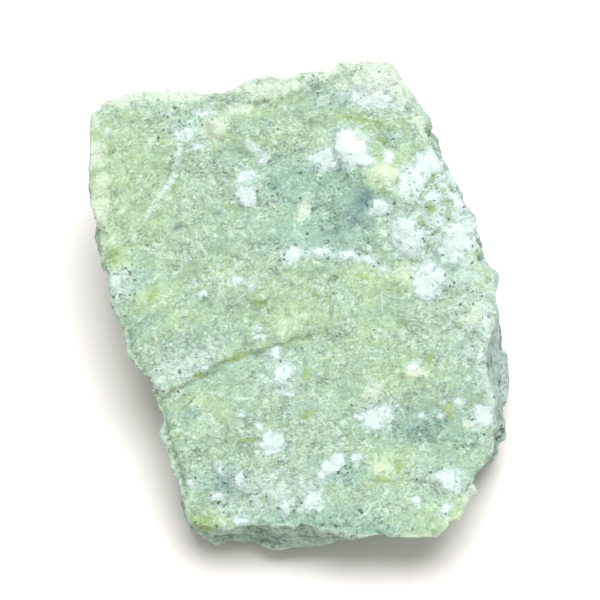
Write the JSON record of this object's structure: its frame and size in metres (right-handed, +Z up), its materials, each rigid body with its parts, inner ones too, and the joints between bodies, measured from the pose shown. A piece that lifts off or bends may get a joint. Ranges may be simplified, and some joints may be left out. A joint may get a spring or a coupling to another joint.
{
  "type": "raw serpentine stone",
  "caption": "Broken lump of raw pale green serpentine with one leaning cleaved face, rough undercut flanks and a flat face to rest on.",
  "frame": {"origin": "middle of the stone's box, on the surface it rests on", "axes": "+Z up; the cleaved face leans down towards -Y, the stone's front, and +Y points to its thick back; +X to the right"},
  "size_m": [0.0546, 0.0616, 0.025],
  "materials": {
    "serpentine": "raw broken serpentine: sugary matt pale green rock with chalk-white patches, blue-green clouds, fine white cracks and dark specks"
  },
  "bodies": {
    "root": {"serpentine_stone": "serpentine"}
  },
  "joints": []
}
